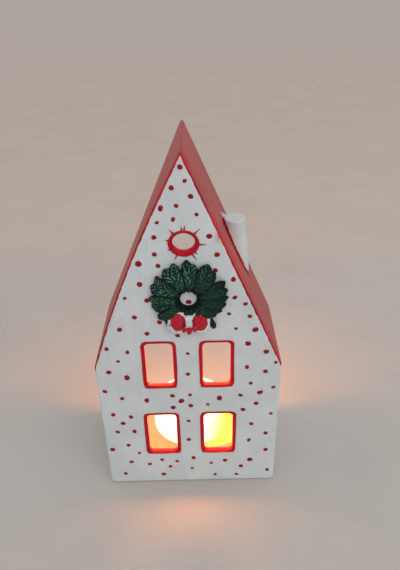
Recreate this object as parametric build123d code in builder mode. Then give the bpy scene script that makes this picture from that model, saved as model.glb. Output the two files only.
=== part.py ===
"""Tealight house: an open-backed plaster house with chimney, wreath and bow, and its battery tealight.

Millimetres, +Z up. The origin is the middle of the base underside, and the gable front faces -Y.
"""
import math
import os

from build123d import *

# Shared clearances
overrun = 1.0            # how far a cut runs past the face it opens
running_gap = 0.3        # between pieces that slide or turn on each other
fit_gap = 0.15           # between pieces that are pushed together

# House casting
house_width = 80.0
house_depth = 46.0
eave_height = 73.0
ridge_height = 166.0
front_wall = 2.4
wall = 3.5               # sides and roof
left_front_bow = 2.2     # how far the left slope swells past a straight one, at the facade
left_back_bow = 0.3      # and at the open back
floor_thickness = 4.5
base_corner_radius = 2.2
eave_radius = 1.5
ridge_radius = 0.6
front_edge_radius = 1.2
back_edge_chamfer = 0.5
cavity_corner_radius = 3.0

# Windows, each column measured from the house axis
upper_window_width = 11.8
upper_window_height = 23.0
upper_window_offset = 12.2
upper_sill_height = 62.0
lower_window_width = 13.2
lower_window_height = 23.8
lower_window_offset = 12.9
lower_sill_height = 21.0
window_corner_radius = 2.0
window_edge_radius = 0.6
attic_window_width = 8.6
attic_window_height = 7.6
attic_window_drop = 34.5      # ridge to the oval's centre

# Chimney on the right roof slope
chimney_drop = 36.6           # ridge to the chimney's top
chimney_radius = 4.5          # at its top
chimney_gap = 0.5             # between the roof and the chimney's side, at its top
chimney_taper_angle = 5.2     # how far its side leans in
chimney_setback = 27.3        # facade to the chimney's axis
chimney_edge_radius = 0.8

# Wreath of leaves on the facade
wreath_drop = 58.0            # ridge to the wreath's centre
wreath_offset = 1.1
wreath_hole_radius = 3.5
wreath_ring_radius = 7.0
wreath_ring_thickness = 1.8
leaf_count = 13
leaf_fan_angle = 278.0        # the leaves leave the lowest part to the bow
leaf_root_radius = 3.7
leaf_length = 11.9
leaf_width = 7.4
tall_leaf_thickness = 4.2
low_leaf_thickness = 3.3
leaf_crest_share = 0.3
leaf_crest_centre_share = 0.46
leaf_edge_shares = [       # along the midrib, and out to the edge
    (0.0, 0.42),
    (0.22, 0.78),
    (0.32, 0.7),
    (0.5, 1.0),
    (0.6, 0.86),
    (0.76, 0.8),
    (0.84, 0.56),
    (1.0, 0.0),
]

# Bow at the foot of the wreath
bow_drop = 10.4               # wreath centre to bow centre
bow_reach = 8.1               # bow centre to the outer end of a lobe
bow_lobe_height = 9.0
bow_lobe_root_height = 5.0
bow_lobe_corner_radius = 1.6
bow_lobe_thickness = 3.6
bow_lobe_edge_radius = 1.0
bow_knot_width = 3.8
bow_knot_height = 5.8
bow_knot_corner_radius = 1.3
bow_knot_thickness = 4.6
bow_knot_edge_radius = 0.9
bow_tail_width = 4.6
bow_tail_length = 4.4
bow_tail_thickness = 3.0

# Tealight body, standing on the house floor
candle_diameter = 40.0
candle_height = 13.0
candle_offset = -0.5          # house axis to candle axis
candle_setback = 38.8         # facade to candle axis
candle_draft = 0.4            # how much narrower its radius is at the rim
candle_skirt_wall = 1.3
candle_ledge_width = 0.5
candle_top_thickness = 1.3
candle_rim_width = 1.6
candle_rim_radius = 0.6
candle_dish_depth = 1.4
candle_dish_slope = 1.2
candle_collar_width = 1.4
candle_collar_height = 1.1

# Flame lens
lens_radius = 4.6
lens_wall = 1.2
lens_flange_width = 1.6
lens_flange_thickness = 0.9
lens_neck_height = 1.2        # straight part above the collar
flame_height = 19.5           # from the top of the neck to the tip
flame_bulge_shares = [(1.06, 0.34), (0.3, 0.62)]
lens_bore_share = 0.36        # depth of the bore in the flame

# Light-emitting diode and its leads
led_radius = 2.5
led_flange_radius = 2.9
led_flange_thickness = 1.0
led_height = 8.6
lead_diameter = 0.5
lead_pitch = 2.54
lead_bend_radius = 0.5

# Base plate inside the skirt, with its battery well
plate_recess = 0.6            # how far the plate stands above what the candle rests on
plate_lip_thickness = 1.0     # rim that the battery cover's lugs hold on to
plate_cap_thickness = 0.9     # above the groove that the lugs turn in
well_offset = 3.5             # candle axis to battery axis
well_wall = 1.4
well_roof_thickness = 1.0
contact_space = 0.8           # between battery and well roof
led_post_height = 1.2
led_post_wall = 1.2

# Coin cell
cell_diameter = 20.0
cell_height = 3.2
cell_cap_diameter = 17.6
cell_cap_height = 0.5
cell_edge_radius = 0.4

# Bayonet cover under the cell
cover_margin = 0.9            # how much larger its radius is than the cell's
cover_lug_height = 0.8
cover_lug_reach = 1.3
cover_lug_width = 3.2
cover_twist_angle = 60.0      # from locked to the notches
cover_slot_length = 12.0
cover_slot_width = 1.7
cover_slot_depth = 0.9

# Contacts
contact_thickness = 0.3
contact_width = 2.4
contact_gap = 0.05            # between a contact and what it presses on
minus_leaf_reach = 7.0        # diode lead to the tip of the leaf
minus_leaf_lift = 0.4         # how far the tip of the leaf turns up
plus_offset = 1.6             # candle axis to the middle of the plus strip
plus_foot_reach = 2.9         # from the tab at the cell to the riser

# Slide switch in the plate
switch_setback = 13.4         # candle axis to switch axis
switch_travel = 2.6
knob_length = 3.6
knob_width = 2.4
knob_stand = 0.25             # how far the knob stops above what the candle rests on
knob_edge_radius = 0.3
slider_length = 6.0
slider_width = 4.0
slider_thickness = 1.0
wiper_length = 4.6
wiper_width = 2.4

# Derived places
half_width = house_width / 2
front_y = -house_depth / 2
roof_rise = ridge_height - eave_height
roof_length = math.hypot(half_width, roof_rise)
roof_drop = wall * roof_length / half_width      # roof wall, measured straight down

facade = Plane(origin=(0, front_y, 0), x_dir=(1, 0, 0), z_dir=(0, -1, 0))


def roof_height(reach):
    """Height of the outer roof face at this distance from the house axis."""
    return ridge_height - roof_rise * reach / half_width


def roof_reach(height):
    """Distance from the house axis to the outer roof face at this height."""
    return half_width * (ridge_height - height) / roof_rise


def write(piece, name):
    """Label one finished piece and write it."""
    piece.part.label = name
    export_step(piece.part, f"parts/{name}.step")


os.makedirs("parts", exist_ok=True)

# House shell: one casting, open at the back
with BuildPart() as house_shell:
    with BuildSketch(facade) as gable:
        with BuildLine():
            Polyline(
                (-half_width, eave_height),
                (-half_width, 0),
                (half_width, 0),
                (half_width, eave_height),
                (0, ridge_height),
            )
            SagittaArc((0, ridge_height), (-half_width, eave_height), -left_front_bow)
        make_face()
        fillet(gable.vertices().group_by(Axis.Y)[0], base_corner_radius)
        fillet(gable.vertices().filter_by_position(Axis.Y, eave_height, eave_height), eave_radius)
        fillet(gable.vertices().sort_by(Axis.Y)[-1], ridge_radius)
    extrude(amount=-house_depth)
    fillet(house_shell.faces().sort_by(Axis.Y)[0].edges(), front_edge_radius)
    # The left slope swells at the facade and straightens towards the back, shaved along a leaning plane
    slope_along = Vector(half_width, 0, roof_rise) / roof_length
    slope_out = Vector(-roof_rise, 0, half_width) / roof_length
    lean = Vector(0, -house_depth, 0) + slope_out * (left_front_bow - left_back_bow)
    shaved_back = Vector(0, front_y + house_depth, ridge_height) + slope_out * left_back_bow
    split(bisect_by=Plane(shaved_back, x_dir=slope_along, z_dir=lean.cross(slope_along)), keep=Keep.BOTTOM)
    chamfer(house_shell.faces().sort_by(Axis.Y)[-1].edges(), back_edge_chamfer)

    inner_half = half_width - wall
    with BuildSketch(facade.offset(-front_wall)) as cavity:
        with BuildLine():
            Polyline(
                (-inner_half, floor_thickness),
                (inner_half, floor_thickness),
                (inner_half, roof_height(inner_half) - roof_drop),
                (0, ridge_height - roof_drop),
                (-inner_half, roof_height(inner_half) - roof_drop),
                close=True,
            )
        make_face()
        fillet(cavity.vertices(), cavity_corner_radius)
    extrude(amount=front_wall - house_depth - overrun, mode=Mode.SUBTRACT)

    with BuildSketch(facade.offset(overrun)) as openings:
        for side in (-1, 1):
            with Locations((side * upper_window_offset, upper_sill_height + upper_window_height / 2)):
                RectangleRounded(upper_window_width, upper_window_height, window_corner_radius)
            with Locations((side * lower_window_offset, lower_sill_height + lower_window_height / 2)):
                RectangleRounded(lower_window_width, lower_window_height, window_corner_radius)
        with Locations((0, ridge_height - attic_window_drop)):
            Ellipse(attic_window_width / 2, attic_window_height / 2)
    extrude(amount=-front_wall - 2 * overrun, mode=Mode.SUBTRACT)
    front_face = house_shell.faces().sort_by(Axis.Y)[0]
    fillet(front_face.inner_wires().edges(), window_edge_radius)

# Chimney: a tapered round column with its foot cut to the roof slope
chimney_top = ridge_height - chimney_drop
chimney_reach = roof_reach(chimney_top) + chimney_gap + chimney_radius
taper_share = math.tan(math.radians(chimney_taper_angle))
outer_reach = chimney_reach + chimney_radius
foot_reach = (outer_reach - taper_share * chimney_drop) / (1 - taper_share * roof_rise / half_width)
chimney_length = chimney_top - roof_height(foot_reach) + overrun
right_slope = Plane((0, 0, ridge_height), x_dir=(0, 1, 0), z_dir=(roof_rise, 0, half_width))
with BuildPart() as chimney:
    with Locations((chimney_reach, front_y + chimney_setback, chimney_top)):
        Cone(
            chimney_radius + taper_share * chimney_length,
            chimney_radius,
            chimney_length,
            align=(Align.CENTER, Align.CENTER, Align.MAX),
        )
    fillet(chimney.edges().sort_by(Axis.Z)[-1], chimney_edge_radius)
    split(bisect_by=right_slope, keep=Keep.TOP)

# Wreath: a ring with leaves fanned over it, low and tall ones in turn
wreath_height = ridge_height - wreath_drop
wreath_plane = facade.shift_origin(facade.from_local_coords((wreath_offset, wreath_height, 0)))
bow_plane = facade.shift_origin(facade.from_local_coords((wreath_offset, wreath_height - bow_drop, 0)))


def leaf_outline(size_share):
    """Toothed leaf from its root at the origin along +X, shrunk about a point on its midrib."""
    middle = leaf_length * leaf_crest_centre_share
    upper = []
    for along_share, half_share in leaf_edge_shares:
        along = middle + (leaf_length * along_share - middle) * size_share
        upper.append((along, leaf_width / 2 * half_share * size_share))
    return upper + [(along, -half) for along, half in reversed(upper[:-1])]


def leaf_solid(thickness):
    """One leaf with a raised midrib, lying on the XY plane."""
    with BuildPart() as leaf:
        for height, size_share in ((0, 1), (thickness, leaf_crest_share)):
            with BuildSketch(Plane.XY.offset(height)):
                with BuildLine():
                    Polyline(*leaf_outline(size_share), close=True)
                make_face()
        loft(ruled=True)
    return leaf.part


def lobe_points(side, margin):
    """Corners of one bow lobe about the bow's centre, grown by a margin."""
    reach = side * (bow_reach + margin)
    root = bow_lobe_root_height / 2 + margin
    end = bow_lobe_height / 2 + margin
    return [(0, -root), (reach, -end), (reach, end), (0, root)]


def tail_points(margin):
    """Corners of the bow's tail about the bow's centre, grown by a margin."""
    top = bow_knot_corner_radius - bow_knot_height / 2
    half = bow_tail_width / 2 + margin
    return [(-half, top), (0, top - bow_tail_length - margin), (half, top)]


low_leaf = leaf_solid(low_leaf_thickness)
tall_leaf = leaf_solid(tall_leaf_thickness)
leaf_step = leaf_fan_angle / (leaf_count - 1)
first_leaf_angle = 90 - leaf_fan_angle / 2
with BuildPart() as wreath:
    with BuildSketch(wreath_plane):
        Circle(wreath_ring_radius)
        Circle(wreath_hole_radius, mode=Mode.SUBTRACT)
    extrude(amount=wreath_ring_thickness)
    for index in range(leaf_count):
        angle = first_leaf_angle + index * leaf_step
        with Locations(wreath_plane):
            with PolarLocations(leaf_root_radius, 1, start_angle=angle):
                add(tall_leaf if index % 2 else low_leaf)

    # Room for the bow
    with BuildSketch(bow_plane):
        for side in (-1, 1):
            with BuildLine():
                Polyline(*lobe_points(side, fit_gap), close=True)
            make_face()
        with BuildLine():
            Polyline(*tail_points(fit_gap), close=True)
        make_face()
        Rectangle(bow_knot_width + 2 * fit_gap, bow_knot_height + 2 * fit_gap)
    extrude(amount=tall_leaf_thickness + overrun, mode=Mode.SUBTRACT)

# Bow: two lobes, a knot over their roots and a pointed tail below
with BuildPart() as bow:
    for side in (-1, 1):
        with BuildSketch(bow_plane) as lobe:
            with BuildLine():
                Polyline(*lobe_points(side, 0), close=True)
            make_face()
            fillet(lobe.vertices().group_by(Axis.X)[0 if side < 0 else -1], bow_lobe_corner_radius)
        extrude(amount=bow_lobe_thickness)
    fillet(bow.faces().sort_by(Axis.Y)[0].edges(), bow_lobe_edge_radius)
    with BuildSketch(bow_plane):
        with BuildLine():
            Polyline(*tail_points(0), close=True)
        make_face()
    extrude(amount=bow_tail_thickness)
    with BuildSketch(bow_plane):
        RectangleRounded(bow_knot_width, bow_knot_height, bow_knot_corner_radius)
    extrude(amount=bow_knot_thickness)
    fillet(bow.faces().sort_by(Axis.Y)[0].edges(), bow_knot_edge_radius)

# Tealight heights, all above what the candle stands on
candle_y = front_y + candle_setback
candle_radius = candle_diameter / 2
skirt_radius = candle_radius - candle_skirt_wall
inner_radius = skirt_radius - candle_ledge_width
lip_top = plate_recess + plate_lip_thickness
cover_top = lip_top + running_gap + cover_lug_height
groove_top = cover_top + running_gap
plate_top = groove_top + plate_cap_thickness
dish_height = candle_height - candle_dish_depth
top_underside = dish_height - candle_top_thickness
collar_top = dish_height + candle_collar_height
lens_hole_radius = lens_radius + fit_gap
cell_top = cover_top + cell_height
well_ceiling = cell_top + contact_space
well_top = well_ceiling + well_roof_thickness
led_seat = well_top + led_post_height

candle_axis = Axis((candle_offset, candle_y, 0), (0, 0, 1))
candle_section = Plane(origin=(candle_offset, candle_y, floor_thickness), x_dir=(1, 0, 0), z_dir=(0, -1, 0))
candle_floor = Plane(origin=(candle_offset, candle_y, floor_thickness))
cell_floor = candle_floor.shift_origin(candle_floor.from_local_coords((0, well_offset, 0)))
switch_floor = candle_floor.shift_origin(candle_floor.from_local_coords((0, -switch_setback, 0)))

# Candle body: a hollow cup, rim up, with a dished top and a collar round the flame
with BuildPart() as candle_body:
    with BuildSketch(candle_section) as body_profile:
        rim_inner = candle_radius - candle_draft - candle_rim_width
        collar_radius = lens_hole_radius + candle_collar_width
        with BuildLine():
            Polyline(
                (skirt_radius, 0),
                (candle_radius, 0),
                (candle_radius - candle_draft, candle_height),
                (rim_inner, candle_height),
                (rim_inner - candle_dish_slope, dish_height),
                (collar_radius + candle_dish_slope, dish_height),
                (collar_radius, collar_top),
                (lens_hole_radius, collar_top),
                (lens_hole_radius, top_underside),
                (inner_radius, top_underside),
                (inner_radius, plate_top),
                (skirt_radius, plate_top),
                close=True,
            )
        make_face()
        fillet(body_profile.vertices().group_by(Axis.Y)[-1], candle_rim_radius)
    revolve(axis=candle_axis)

# Flame lens: a hollow flame on a flange that seats under the candle's top
lens_bottom = top_underside - lens_flange_thickness
neck_top = collar_top + lens_neck_height
flame_tip = neck_top + flame_height
bore_radius = lens_radius - lens_wall
bore_top = neck_top + flame_height * lens_bore_share
with BuildPart() as flame_lens:
    with BuildSketch(candle_section):
        with BuildLine():
            Polyline(
                (bore_radius, lens_bottom),
                (lens_radius + lens_flange_width, lens_bottom),
                (lens_radius + lens_flange_width, top_underside),
                (lens_radius, top_underside),
                (lens_radius, neck_top),
            )
            bulge = [
                (lens_radius * width_share, neck_top + flame_height * height_share)
                for width_share, height_share in flame_bulge_shares
            ]
            Bezier((lens_radius, neck_top), *bulge, (0, flame_tip))
            Line((0, flame_tip), (0, bore_top))
            RadiusArc((0, bore_top), (bore_radius, bore_top - bore_radius), bore_radius)
            Line((bore_radius, bore_top - bore_radius), (bore_radius, lens_bottom))
        make_face()
    revolve(axis=candle_axis)

# Diode: a flanged bullet standing on the post of the base plate
dome_start = led_seat + led_height - led_radius
with BuildPart() as led:
    with BuildSketch(candle_section):
        with BuildLine():
            Polyline(
                (0, led_seat),
                (led_flange_radius, led_seat),
                (led_flange_radius, led_seat + led_flange_thickness),
                (led_radius, led_seat + led_flange_thickness),
                (led_radius, dome_start),
            )
            RadiusArc((led_radius, dome_start), (0, dome_start + led_radius), -led_radius)
            Line((0, dome_start + led_radius), (0, led_seat))
        make_face()
    revolve(axis=candle_axis)

# Base plate: a disc under the ledge, the battery well with its roof, and the post that carries the diode
cell_radius = cell_diameter / 2
cover_radius = cell_radius + cover_margin
lug_radius = cover_radius + cover_lug_reach
groove_radius = lug_radius + running_gap
well_radius = cell_radius + running_gap
post_radius = led_flange_radius + led_post_wall
lead_offset = lead_pitch / 2
lead_hole_radius = lead_diameter / 2 + running_gap
with BuildPart() as base_plate:
    with BuildSketch(candle_floor.offset(plate_recess)):
        Circle(skirt_radius - fit_gap)
    extrude(amount=plate_top - plate_recess)
    with BuildSketch(cell_floor.offset(plate_top)):
        Circle(well_radius + well_wall)
    extrude(amount=well_top - plate_top)
    with BuildSketch(candle_floor.offset(well_top)):
        Circle(post_radius)
    extrude(amount=led_post_height)
    # Cell space, from the underside to the well roof
    with BuildSketch(cell_floor):
        Circle(well_radius)
    extrude(amount=well_ceiling, mode=Mode.SUBTRACT)
    # Mouth, notches and groove of the bayonet
    with BuildSketch(cell_floor):
        Circle(groove_radius)
        bar_width = cover_lug_width + 2 * running_gap
        Rectangle(2 * groove_radius, bar_width, rotation=-cover_twist_angle, mode=Mode.INTERSECT)
        Circle(cover_radius + running_gap)
    extrude(amount=lip_top, mode=Mode.SUBTRACT)
    with BuildSketch(cell_floor.offset(lip_top)):
        Circle(groove_radius)
    extrude(amount=groove_top - lip_top, mode=Mode.SUBTRACT)
    # Slot for the plus contact in the well wall
    with BuildSketch(candle_floor.offset(plate_top)):
        with Locations((plus_offset, well_offset - well_radius - well_wall / 2)):
            Rectangle(contact_width + 2 * running_gap, 2 * well_wall + 2 * running_gap)
    extrude(amount=well_ceiling - plate_top, mode=Mode.SUBTRACT)
    # Holes and slot for the diode's leads
    with BuildSketch(candle_floor.offset(well_ceiling - overrun)):
        with Locations((lead_offset, 0)):
            Circle(lead_hole_radius)
    extrude(amount=led_seat - well_ceiling + 2 * overrun, mode=Mode.SUBTRACT)
    with BuildSketch(candle_floor.offset(well_top)):
        with Locations((-lead_offset, -post_radius / 2)):
            Rectangle(2 * lead_hole_radius, post_radius + 2 * lead_hole_radius)
    extrude(amount=led_post_height + overrun, mode=Mode.SUBTRACT)
    # Slot for the switch knob
    with BuildSketch(switch_floor):
        with Locations((switch_travel / 2, 0)):
            Rectangle(knob_length + switch_travel + 2 * running_gap, knob_width + 2 * running_gap)
    extrude(amount=plate_top + overrun, mode=Mode.SUBTRACT)

# Coin cell: the can below, the smaller cap above
with BuildPart() as coin_cell:
    with BuildSketch(cell_floor.offset(cover_top)):
        Circle(cell_radius)
    extrude(amount=cell_height - cell_cap_height)
    fillet(coin_cell.edges().filter_by(GeomType.CIRCLE), cell_edge_radius)
    with BuildSketch(cell_floor.offset(cell_top - cell_cap_height)):
        Circle(cell_cap_diameter / 2)
    extrude(amount=cell_cap_height)

# Battery cover: a disc with two lugs, turned by a coin in its slot
with BuildPart() as battery_cover:
    with BuildSketch(cell_floor.offset(plate_recess)):
        Circle(cover_radius)
    extrude(amount=cover_top - plate_recess)
    with BuildSketch(cell_floor.offset(cover_top - cover_lug_height)):
        Circle(lug_radius)
        Rectangle(2 * lug_radius, cover_lug_width, mode=Mode.INTERSECT)
    extrude(amount=cover_lug_height)
    with BuildSketch(cell_floor.offset(plate_recess)):
        SlotOverall(cover_slot_length, cover_slot_width)
    extrude(amount=cover_slot_depth, mode=Mode.SUBTRACT)


def bent_strip(offset, points):
    """A contact strip across the candle's side view, through points of distance and height."""
    side_view = Plane(
        origin=(candle_offset + offset - contact_width / 2, candle_y, floor_thickness),
        x_dir=(0, 1, 0),
        z_dir=(1, 0, 0),
    )
    with BuildPart() as strip:
        with BuildSketch(side_view):
            with BuildLine():
                Polyline(*points)
            trace(line_width=contact_thickness)
        extrude(amount=contact_width)
    return strip


# Minus contact: a leaf under the well roof that presses on the cell's cap
half_strip = contact_thickness / 2
leaf_roof = well_ceiling - half_strip
leaf_touch = cell_top + contact_gap + half_strip
minus_contact = bent_strip(
    lead_offset,
    [
        (-contact_width, leaf_roof),
        (contact_width, leaf_roof),
        (minus_leaf_reach, leaf_touch),
        (minus_leaf_reach + contact_width, leaf_touch + minus_leaf_lift),
    ],
)

# Plus contact: a tab at the cell's side, a foot on the plate and an arm over the switch
slider_top = plate_top + slider_thickness
wiper_top = slider_top + contact_thickness
tab_place = well_offset - cell_radius - contact_gap - half_strip
riser_place = tab_place - plus_foot_reach
arm_height = wiper_top + contact_gap + half_strip
plus_contact = bent_strip(
    plus_offset,
    [
        (tab_place, cell_top - 2 * cell_cap_height),
        (tab_place, plate_top + half_strip),
        (riser_place, plate_top + half_strip),
        (riser_place, arm_height),
        (-switch_setback - wiper_width / 2, arm_height),
    ],
)

# Leads: one straight down to the minus leaf, one bent over the roof and down to the switch
lead_run = well_top + lead_diameter
with BuildPart() as led_leads:
    with BuildSketch(candle_floor.offset(well_ceiling)):
        with Locations((lead_offset, 0)):
            Circle(lead_diameter / 2)
    extrude(amount=led_seat - well_ceiling)
    with BuildLine(candle_section) as lead_path:
        FilletPolyline(
            (-lead_offset, led_seat, 0),
            (-lead_offset, lead_run, 0),
            (-lead_offset, lead_run, switch_setback),
            (-lead_offset, wiper_top + contact_gap, switch_setback),
            radius=lead_bend_radius,
        )
    with BuildSketch(candle_floor.offset(led_seat)):
        with Locations((-lead_offset, 0)):
            Circle(lead_diameter / 2)
    sweep(path=lead_path.line)

# Switch slider: a knob through the plate and a flange that runs on it
with BuildPart() as switch_slider:
    with BuildSketch(switch_floor.offset(knob_stand)):
        Rectangle(knob_length, knob_width)
    extrude(amount=plate_top - knob_stand)
    fillet(switch_slider.faces().sort_by(Axis.Z)[0].edges(), knob_edge_radius)
    with BuildSketch(switch_floor.offset(plate_top)):
        Rectangle(slider_length, slider_width)
    extrude(amount=slider_thickness)

# Wiper: the strip on the slider that joins the plus arm to the lead
with BuildPart() as switch_wiper:
    with BuildSketch(switch_floor.offset(slider_top)):
        SlotOverall(wiper_length, wiper_width)
    extrude(amount=contact_thickness)

write(house_shell, "house_shell")
write(chimney, "chimney")
write(wreath, "wreath")
write(bow, "bow")
write(candle_body, "candle_body")
write(flame_lens, "flame_lens")
write(led, "led")
write(led_leads, "led_leads")
write(base_plate, "base_plate")
write(coin_cell, "coin_cell")
write(minus_contact, "minus_contact")
write(plus_contact, "plus_contact")
write(battery_cover, "battery_cover")
write(switch_slider, "switch_slider")
write(switch_wiper, "switch_wiper")
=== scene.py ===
"""Tealight house: hand-painted plaster, a wreath of leaves with its bow, and a lit battery tealight.

Metres, +Z up, the gable front faces -Y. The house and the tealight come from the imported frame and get
their finishes here. The wreath, the bow and the raised paint are modelled here.
"""

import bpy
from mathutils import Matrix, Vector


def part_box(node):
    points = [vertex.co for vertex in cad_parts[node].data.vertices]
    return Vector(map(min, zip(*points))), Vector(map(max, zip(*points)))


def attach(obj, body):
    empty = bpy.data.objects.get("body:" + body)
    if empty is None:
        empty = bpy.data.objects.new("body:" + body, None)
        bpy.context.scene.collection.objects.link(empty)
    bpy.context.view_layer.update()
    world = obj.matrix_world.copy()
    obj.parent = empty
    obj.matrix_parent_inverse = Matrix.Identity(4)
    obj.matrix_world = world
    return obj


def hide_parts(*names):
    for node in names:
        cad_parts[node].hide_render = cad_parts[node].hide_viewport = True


bl_info = {
    "name": "Tealight House",
    "version": (1, 0, 0),
    "blender": (4, 5, 0),
    "location": "View3D > Sidebar > Tealight House",
    "description": "Paints and dresses an open-backed plaster tealight house",
    "category": "Object",
}

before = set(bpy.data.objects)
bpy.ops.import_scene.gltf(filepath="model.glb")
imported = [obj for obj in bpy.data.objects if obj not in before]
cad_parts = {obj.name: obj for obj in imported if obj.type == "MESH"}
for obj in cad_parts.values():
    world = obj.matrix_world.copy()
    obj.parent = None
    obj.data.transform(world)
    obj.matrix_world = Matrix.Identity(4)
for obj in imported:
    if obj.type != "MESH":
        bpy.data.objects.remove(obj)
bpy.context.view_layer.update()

import math
import random

import bmesh
import bpy
from bpy.props import FloatProperty, FloatVectorProperty, IntProperty, PointerProperty
from mathutils import Matrix, Vector

MM = 0.001
house_low, house_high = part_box("house_shell")
wreath_low, wreath_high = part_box("wreath")
bow_low, bow_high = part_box("bow")
chimney_low, chimney_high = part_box("chimney")
candle_low, candle_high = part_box("candle_body")
flame_low, flame_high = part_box("flame_lens")
FRONT = house_low.y
QUARTER_TURN = math.radians(90)
HALF_WIDTH = house_high.x

# Pixels of the 400 by 570 photograph, read off it
PHOTO_SIZE = (400, 570)
SMALL_DOTS = [
    (184.6, 180.9), (175.9, 205.9), (196.6, 214.5), (173.1, 219.6), (156.8, 222.7), (124.6, 298.5),
    (229.2, 313.8), (235.9, 328.6), (187.9, 353.6), (118, 361.5), (275.9, 362.2), (250.9, 383.2),
    (273.1, 387.2), (190.2, 394.9), (207.8, 404.3), (270.8, 413.3), (188.7, 420.9), (139.4, 452.8),
    (177.4, 461.2), (211.4, 462.8), (192.2, 467.9), (215.2, 474.2),
]
PLAIN_DOTS = [
    (179.7, 167.1), (171.3, 187.8), (190.7, 196.4), (160.4, 208.4), (153.7, 237.5), (209.1, 236.5),
    (154.2, 254.6), (217, 254.8), (157.8, 265.8), (215.5, 270.4), (157, 277.8), (233.6, 279.3),
    (139.4, 284.4), (147.1, 300.5), (188.9, 302), (234.8, 297.7), (245.3, 304.1), (134.6, 317.6),
    (250.2, 316.3), (159.3, 322.4), (213.9, 326.8), (119.8, 329.8), (146.8, 333.7), (177.7, 335.7),
    (106.5, 349.2), (127.4, 352.3), (247.1, 367.1), (108.6, 372.4), (265.7, 371.4), (187.9, 374.2),
    (105, 391.6), (172.3, 395.9), (240.5, 395.2), (122.1, 398.7), (256, 403.3), (190.7, 405.6),
    (173.4, 407.4), (242.8, 409.4), (113.2, 414.8), (131, 417.1), (123.1, 423.5), (251.2, 423.7),
    (118, 432.1), (134.6, 431.4), (265.5, 432.9), (188.7, 439.5), (248.9, 439.8), (128.7, 445.2),
    (265.5, 449.5), (193.5, 457.7), (162.1, 459.7), (225.2, 460.2), (131.8, 462), (149.9, 464),
    (241, 465.8), (170.6, 466.3), (267, 469.4), (125.9, 473.5), (163.9, 474), (236.4, 474),
]
LARGE_DOTS = [
    (138.4, 264), (255.5, 329.8), (247.9, 343.6), (266.5, 351.8), (126.9, 377.8), (259.8, 392.6),
    (219.5, 398), (146.8, 400.5), (181.5, 401), (112.7, 449.5), (249.9, 459.4),
]
RAY_TIPS = [
    (181, 226), (184.5, 225), (200.2, 228.5), (206.9, 244.8), (197.6, 254.3), (196.7, 259.8),
    (186.5, 256.9), (174.4, 259.8), (167.3, 250.5), (165.1, 240.3), (168.9, 229.8),
]
SMEAR_PIXEL = (223, 237)
SCRATCH_PIXEL = (143, 245)
BUD_PIXEL = (203.5, 292)
SPRIG_PIXELS = ((207.5, 314), (215, 326.5))

# Steps of a dot from its edge to its top: inset as a share of its width, rise as a share of its height
DOT_STEPS = ((0.10, 0.55), (0.16, 0.33), (0.2, 0.12))

# Ranges that each dot draws its size, its stretch and its turn in radians from
DOT_SIZE_RANGE = (0.9, 1.1)
DOT_STRETCH_RANGE = (1.0, 1.2)
DOT_TURN_RANGE = (-0.9, 0.9)

# Steps of a ray from its root to its tip: share of its length, and share of the last width that is left
RAY_STEPS = ((0.35, 0.62), (0.35, 0.45), (0.3, 0.2))

# Leaf outline from root to tip, and leaf section from edge to edge, as shares of half width and rib height
LEAF_HALF_SHARES = (0.42, 0.70, 0.62, 0.92, 0.78, 1.0, 0.82, 1.0, 0.78, 0.94, 0.64, 0.74, 0.38, 0.14)
LEAF_RIB_SHARES = (0.0, 0.4, 0.62, 0.75, 1.0, 0.75, 0.62, 0.4, 0.0)

# Point attributes that tell a leaf's finish where it is: root to tip, and edge to edge
LEAF_AXES = ("along", "across")

# Wreath leaves: direction in degrees, reach and width in millimetres, roll in degrees
LEAVES = [
    (236, 15.4, 7.0, 14), (214, 15.0, 7.0, -12), (192, 15.0, 7.8, 12), (175, 15.6, 7.6, -16),
    (157, 16.0, 7.6, 14), (141, 16.2, 7.2, -14), (124, 16.6, 7.0, 15), (108, 17.6, 6.0, -10),
    (92, 17.8, 5.6, 12), (80, 16.4, 6.0, -18), (63, 17.6, 7.6, 8), (49, 16.4, 6.4, -14),
    (29, 16.6, 6.4, 14), (15, 16.2, 5.8, -12), (3, 15.9, 5.8, 12), (-10, 15.2, 5.8, -12),
    (-23, 14.6, 6.0, 14), (-36, 13.4, 6.0, -10),
    (246, 9.4, 4.2, 10), (259, 7.8, 3.4, -8), (270, 8.1, 3.2, 8), (281, 7.7, 3.2, -8), (292, 8.2, 3.4, 8),
    (304, 9.8, 4.2, -10),
]


def mm(description, millimetres):
    """A length property, given in millimetres and kept in metres."""
    return FloatProperty(description=description, default=millimetres * MM, precision=5,
                         subtype="DISTANCE", unit="LENGTH")


def rgb(description, colour):
    """A colour property, in linear red, green and blue."""
    return FloatVectorProperty(description=description, default=colour, size=3, min=0, max=1, subtype="COLOR")


def number(description, value):
    """A plain number property, such as a share, a power or a strength."""
    return FloatProperty(description=description, default=value)


def degrees(description, angle):
    """An angle property, given in degrees and kept in radians."""
    return FloatProperty(description=description, default=math.radians(angle), subtype="ANGLE")


def place_mm(description, millimetres):
    """A place or an offset, given in millimetres and kept in metres."""
    return FloatVectorProperty(description=description, size=3, subtype="TRANSLATION", unit="LENGTH",
                               default=[part * MM for part in millimetres])


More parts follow.
